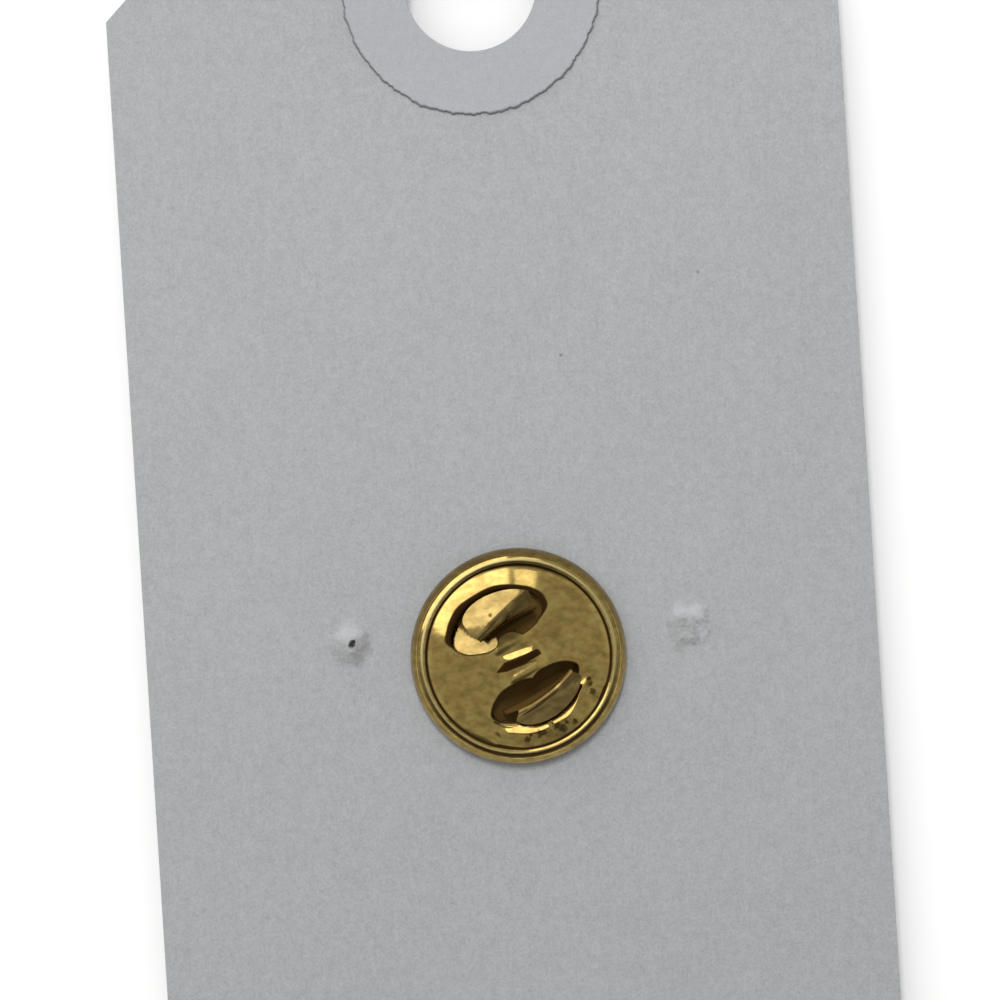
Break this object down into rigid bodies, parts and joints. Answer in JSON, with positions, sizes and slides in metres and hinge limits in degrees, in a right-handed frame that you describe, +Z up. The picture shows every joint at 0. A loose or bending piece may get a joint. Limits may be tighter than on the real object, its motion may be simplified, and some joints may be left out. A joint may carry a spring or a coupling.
{
  "type": "lapel pin with butterfly clutch on a tag card",
  "caption": "Round lapel pin worn through a plain paper tag card, with a gold-toned butterfly clutch closed on its post at the back.",
  "frame": {"origin": "under the middle of the card, on the surface that the pin's flat front lies on", "axes": "+X across the card to the right as seen from the clutch side, +Y along the card to its hanging hole, +Z up along the post to the clutch"},
  "size_m": [0.0412, 0.0826, 0.005],
  "materials": {
    "card": "matt pale grey tag card",
    "patch": "matt pale grey glued patch",
    "pin": "gold-toned, satin",
    "clutch": "gold-toned, polished with light tarnish",
    "wing": "gold-toned spring strip, polished with light tarnish"
  },
  "bodies": {
    "pinned_card": {"card": "card", "hole_patch": "patch", "pin": "pin"},
    "clutch": {"clutch_base": "clutch", "clutch_face": "clutch"},
    "wing_upper": {"wing_upper": "wing"},
    "wing_lower": {"wing_lower": "wing"}
  },
  "joints": [
    {"name": "clutch_slide", "type": "slide", "parent": "pinned_card", "child": "clutch", "axis": [0, 0, 1], "range_m": [0, 0.009]},
    {"name": "wing_upper_squeeze", "type": "hinge", "parent": "clutch", "child": "wing_upper", "pos_m": [-0.00069, -0.00412, 0.00395], "axis": [0.8957, 0.4446, 0], "range_deg": [0, 10], "stiffness_Nm_per_rad": 0.02},
    {"name": "wing_lower_squeeze", "type": "hinge", "parent": "clutch", "child": "wing_lower", "pos_m": [0.00135, -0.00824, 0.00395], "axis": [-0.8957, -0.4446, 0], "range_deg": [0, 10], "stiffness_Nm_per_rad": 0.02}
  ]
}
